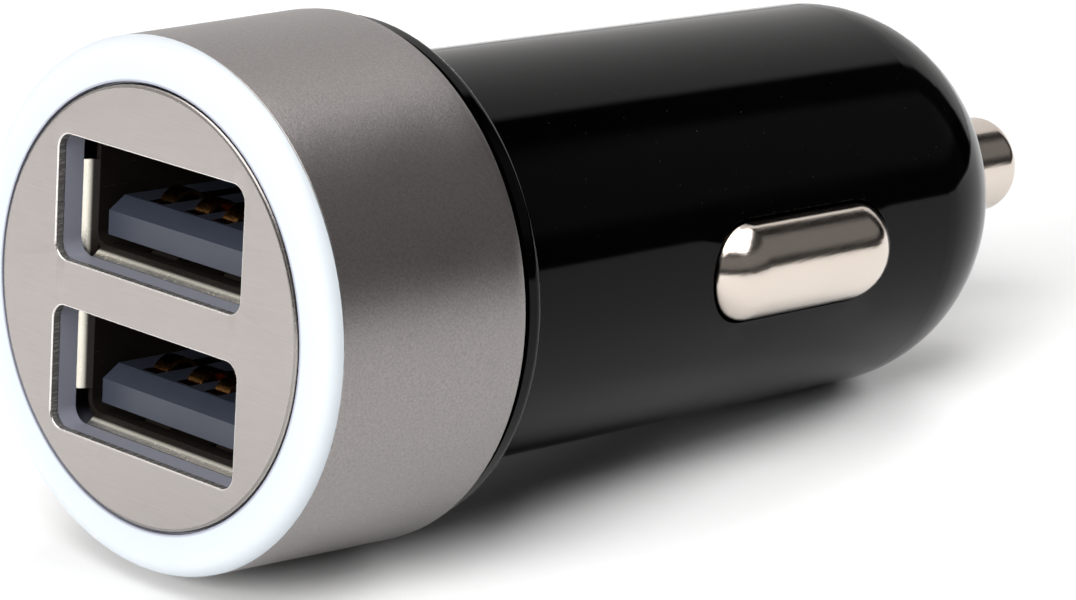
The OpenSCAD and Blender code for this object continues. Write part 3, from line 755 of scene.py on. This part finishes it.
class PLUG_OT_contacts(bpy.types.Operator):
    """Dress the tip contact and the side contacts, and put copies of their springs on the plug's body"""

    bl_idname = "plug.contacts"
    bl_label = "Socket contacts"
    bl_options = {"REGISTER", "UNDO"}

    def execute(self, context):
        plating = nickel()
        soften(dress("tip_contact", plating), context.scene.plug_rounds.tip, segments=3)
        for name in ("side_contact_left", "side_contact_right"):
            soften(dress(name, plating))
        dress("tip_spring", thin_metal("Spring wire", (0.6, 0.6, 0.58), 0.25))
        bronze = thin_metal("Spring bronze", (0.72, 0.5, 0.28), 0.25)
        for name in ("side_spring_left", "side_spring_right", "tip_terminal"):
            dress(name, bronze)
        for joint in sorted(frame["joints"], key=lambda joint: joint["name"]):
            for spring in joint["deforming_nodes"]:
                sprung(spring["node"])
        return {"FINISHED"}


class PLUG_OT_receptacles(bpy.types.Operator):
    """Dress the two receptacles"""

    bl_idname = "plug.receptacles"
    bl_label = "Receptacles"
    bl_options = {"REGISTER", "UNDO"}

    def execute(self, context):
        steel = shell_steel()
        black = moulded("Receptacle insulator", settings().insulator, 0.34)
        gilt = thin_metal("Gilt contact", (0.42, 0.2, 0.06), 0.24)
        rounds = context.scene.plug_rounds
        for end in ("upper", "lower"):
            soften(dress("usb_shell_" + end, steel), rounds.shell)
            soften(dress("usb_insulator_" + end, black), rounds.tongue)
            dress("usb_contacts_" + end, gilt)
        return {"FINISHED"}


class PLUG_OT_electronics(bpy.types.Operator):
    """Dress the circuit board and what stands on it"""

    bl_idname = "plug.electronics"
    bl_label = "Electronics"
    bl_options = {"REGISTER", "UNDO"}

    def execute(self, context):
        dress("main_board", solder_mask())
        chip = moulded("Chip package", (0.018, 0.018, 0.019), 0.5)
        for name in ("converter_chip", "port_controllers", "catch_diode"):
            dress(name, chip)
        can = thin_metal("Capacitor can", (0.75, 0.75, 0.77), 0.3)
        for name in ("input_capacitor", "output_capacitor"):
            dress(name, can)
        dress("inductor", moulded("Ferrite", (0.07, 0.07, 0.075), 0.6))
        dress("input_fuse", moulded("Ceramic body", (0.7, 0.7, 0.66), 0.35))
        dress("board_passives", moulded("Ceramic chip", (0.42, 0.3, 0.18), 0.35))
        dress("ring_leds", moulded("Diode package", (0.85, 0.82, 0.62), 0.4))
        return {"FINISHED"}


class PLUG_OT_stage(bpy.types.Operator):
    """Set up the floor, the lights and the camera"""

    bl_idname = "plug.stage"
    bl_label = "Stage"
    bl_options = {"REGISTER", "UNDO"}

    def execute(self, context):
        scene = context.scene
        self.floor(scene)
        self.world(scene)
        for lamp in LAMPS:
            self.lamp(scene, *lamp)
        self.camera(scene)
        scene.view_settings.view_transform = "Standard"
        return {"FINISHED"}

    def floor(self, scene):
        """A square sheet under the plug."""
        mesh = bpy.data.meshes.new("Floor")
        corners = [(-FLOOR_HALF, -FLOOR_HALF, 0), (FLOOR_HALF, -FLOOR_HALF, 0)]
        corners += [(FLOOR_HALF, FLOOR_HALF, 0), (-FLOOR_HALF, FLOOR_HALF, 0)]
        mesh.from_pydata(corners, [], [(0, 1, 2, 3)])
        mesh.materials.append(pale_floor())
        floor = bpy.data.objects.new("Floor", mesh)
        scene.collection.objects.link(floor)

    def camera(self, scene):
        """The camera at the photograph's viewing angle."""
        camera = bpy.data.cameras.new("Camera")
        camera.sensor_fit = "HORIZONTAL"
        camera.sensor_width = SENSOR_WIDTH
        camera.lens = scene.plug_stage.focal
        camera.shift_x, camera.shift_y = SHIFT
        camera.clip_start = NEAR
        camera.clip_end = FAR
        eye = bpy.data.objects.new("Camera", camera)
        eye.location = EYE_PLACE
        eye.rotation_euler = EYE_TURN
        scene.collection.objects.link(eye)
        scene.camera = eye

    def world(self, scene):
        """A dark room with a bright wall. Matt things get little light from it, the camera sees white."""
        world = bpy.data.worlds.new("Studio")
        scene.world = world
        world.use_nodes = True
        tree = world.node_tree
        ground = tree.nodes["Background"].inputs
        split = tree.nodes.new("ShaderNodeSeparateXYZ")
        feed(tree, here(tree, "Generated"), split.inputs["Vector"])
        turn = calc(tree, "ARCTAN2", split.outputs["Y"], split.outputs["X"])
        started = span(tree, turn, *WALL_START, smooth=True)
        lasting = span(tree, turn, *WALL_END, smooth=True)
        wall = calc(tree, "MULTIPLY", started, lasting)
        room = scene.plug_stage.room
        side = span(tree, turn, *ROOM_EDGE, low=room * DARK_SHARE, high=room, smooth=True)
        dim = calc(tree, "MULTIPLY", self.by_height(tree, split.outputs["Z"]), side)
        level = calc(tree, "MULTIPLY_ADD", wall, scene.plug_stage.wall, dim)
        path = tree.nodes.new("ShaderNodeLightPath").outputs
        matt = span(tree, path["Is Diffuse Ray"], low=1.0, high=MATT_SHARE)
        seen = calc(tree, "MULTIPLY", level, matt)
        feed(tree, ROOM_TINT, ground["Color"])
        feed(tree, calc(tree, "MULTIPLY_ADD", path["Is Camera Ray"], PLAIN_WHITE, seen), ground["Strength"])

    def by_height(self, tree, height):
        """Share of the room's brightness at a height: full in a band, little below and above it."""
        node = tree.nodes.new("ShaderNodeValToRGB")
        node.color_ramp.interpolation = "EASE"
        stops = node.color_ramp.elements
        stops[0].position, stops[1].position = HEIGHTS[0], HEIGHTS[-1]
        for place in HEIGHTS[1:-1]:
            stops.new(place).color = (1.0, 1.0, 1.0, 1.0)
        for stop in (stops[0], stops[-1]):
            stop.color = (LOWEST_SHARE, LOWEST_SHARE, LOWEST_SHARE, 1.0)
        feed(tree, height, node.inputs["Fac"])
        return node.outputs["Color"]

    def lamp(self, scene, name, turn, rise, far, size, power, kind):
        """An area light that looks at the plug from a direction and a distance."""
        light = bpy.data.lights.new(name, "AREA")
        light.shape = "RECTANGLE"
        light.size, light.size_y = size
        light.energy = power * scene.plug_stage.key
        turn, rise = math.radians(turn), math.radians(rise)
        flat = far * math.cos(rise)
        holder = bpy.data.objects.new(name, light)
        holder.location = (flat * math.cos(turn), flat * math.sin(turn), far * math.sin(rise))
        holder.rotation_euler = (-holder.location).to_track_quat("-Z", "Y").to_euler()
        holder.visible_glossy = kind == "SHINE"
        holder.visible_diffuse = kind == "FILL"
        scene.collection.objects.link(holder)


class PLUG_PT_panel(bpy.types.Panel):
    """Lists the settings and the operators"""

    bl_label = "Charger Plug"
    bl_idname = "PLUG_PT_panel"
    bl_space_type = "VIEW_3D"
    bl_region_type = "UI"
    bl_category = "Charger Plug"

    def draw(self, context):
        layout = self.layout
        scene = context.scene
        for group in (scene.plug_looks, scene.plug_rounds, scene.plug_stage):
            for name in type(group).__annotations__:
                layout.prop(group, name)
        for operator in OPERATORS:
            layout.operator(operator.bl_idname)


OPERATORS = (
    PLUG_OT_face, PLUG_OT_sleeve, PLUG_OT_housing, PLUG_OT_contacts, PLUG_OT_receptacles,
    PLUG_OT_electronics, PLUG_OT_stage,
)
CLASSES = (PlugSettings, PlugRoundSettings, PlugStageSettings, *OPERATORS, PLUG_PT_panel)


def register():
    for entry in CLASSES:
        bpy.utils.register_class(entry)
    bpy.types.Scene.plug_looks = bpy.props.PointerProperty(type=PlugSettings)
    bpy.types.Scene.plug_rounds = bpy.props.PointerProperty(type=PlugRoundSettings)
    bpy.types.Scene.plug_stage = bpy.props.PointerProperty(type=PlugStageSettings)


def unregister():
    del bpy.types.Scene.plug_stage
    del bpy.types.Scene.plug_rounds
    del bpy.types.Scene.plug_looks
    for entry in reversed(CLASSES):
        bpy.utils.unregister_class(entry)


def main():
    """Registers the add-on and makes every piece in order."""
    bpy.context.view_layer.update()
    register()
    for operator in OPERATORS:
        family, name = operator.bl_idname.split(".")
        if getattr(getattr(bpy.ops, family), name)() != {"FINISHED"}:
            raise RuntimeError(operator.bl_idname + " didn't finish")


if __name__ == "__main__":
    main()
